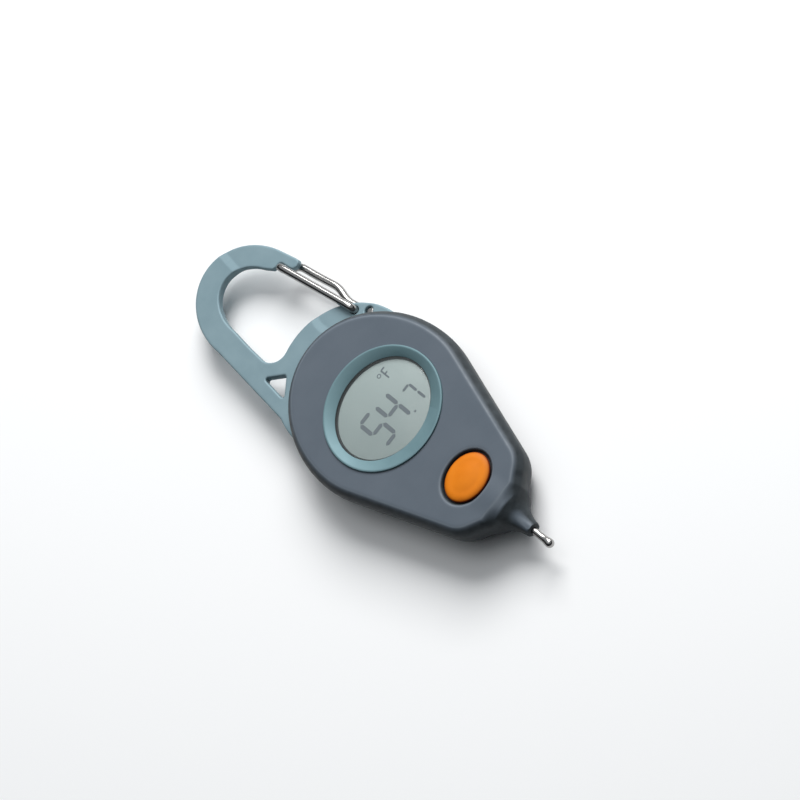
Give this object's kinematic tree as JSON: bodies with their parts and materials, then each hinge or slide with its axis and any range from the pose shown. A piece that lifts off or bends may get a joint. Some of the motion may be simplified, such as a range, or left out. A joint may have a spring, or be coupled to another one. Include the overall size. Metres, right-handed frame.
{
  "type": "pocket probe thermometer",
  "caption": "Pocket digital probe thermometer with a round display, oval button, soft grip, flat carabiner frame and wire gate.",
  "frame": {"origin": "middle of the footprint, on the surface that the flat back rests on", "axes": "+Y along the body towards the carabiner, +Z out of the display face, +X to the right of the display"},
  "size_m": [0.047, 0.13, 0.013],
  "materials": {
    "anodised_aluminium": "satin anodised grey-teal",
    "polished_wire": "polished stainless wire",
    "polished_steel": "drawn and polished stainless steel",
    "soft_grip": "fine matt moulded elastomer",
    "hard_plastic": "fine texture",
    "clear_lens": "clear moulded window",
    "display_panel": "reflective grey-green liquid crystal panel",
    "seal_rubber": "moulded seal",
    "white_plastic": "moulded",
    "board_laminate": "solder mask",
    "black_resin": "moulded resin",
    "plated_metal": "nickel plated",
    "orange_button": "silky moulded",
    "contact_brass": "plated spring strip",
    "screw_steel": "zinc plated",
    "lead_insulation": "enamel"
  },
  "bodies": {
    "case": {"carabiner_frame": "anodised_aluminium", "front_housing": "hard_plastic", "front_grip": "soft_grip", "rear_housing": "hard_plastic", "rear_grip": "soft_grip", "bezel_ring": "anodised_aluminium", "display_lens": "clear_lens", "lens_gasket": "seal_rubber", "lcd_glass": "display_panel", "lcd_reflector": "display_panel", "lcd_holder": "white_plastic", "zebra_strips": "seal_rubber", "circuit_board": "board_laminate", "controller_chip": "black_resin", "timing_crystal": "plated_metal", "board_components": "black_resin", "tactile_switch": "plated_metal", "button_seal": "seal_rubber", "coin_cell": "plated_metal", "cell_holder": "white_plastic", "positive_contact": "contact_brass", "negative_contact": "contact_brass", "housing_gasket": "seal_rubber", "housing_screws": "screw_steel", "board_screws": "screw_steel", "probe_sheath": "polished_steel", "thermistor_bead": "black_resin", "probe_leads": "lead_insulation", "probe_seal": "seal_rubber"},
    "gate": {"wire_gate": "polished_wire"},
    "button": {"button_cap": "orange_button", "switch_plunger": "black_resin"},
    "cover": {"battery_cover": "hard_plastic", "cover_seal": "seal_rubber"}
  },
  "joints": [
    {"name": "gate_hinge", "type": "hinge", "parent": "case", "child": "gate", "pos_m": [0.014, 0.0226, 0.00625], "axis": [0, 0, 1], "range_deg": [0, 25], "stiffness_Nm_per_rad": 0.06, "springref_deg": -6.88},
    {"name": "button_press", "type": "slide", "parent": "case", "child": "button", "axis": [0, 0, -1], "range_m": [0, 0.0006], "stiffness_N_per_m": 3000},
    {"name": "cover_turn", "type": "hinge", "parent": "case", "child": "cover", "pos_m": [0, -0.008, 0], "axis": [0, 0, 1], "range_deg": [0, 60]}
  ]
}
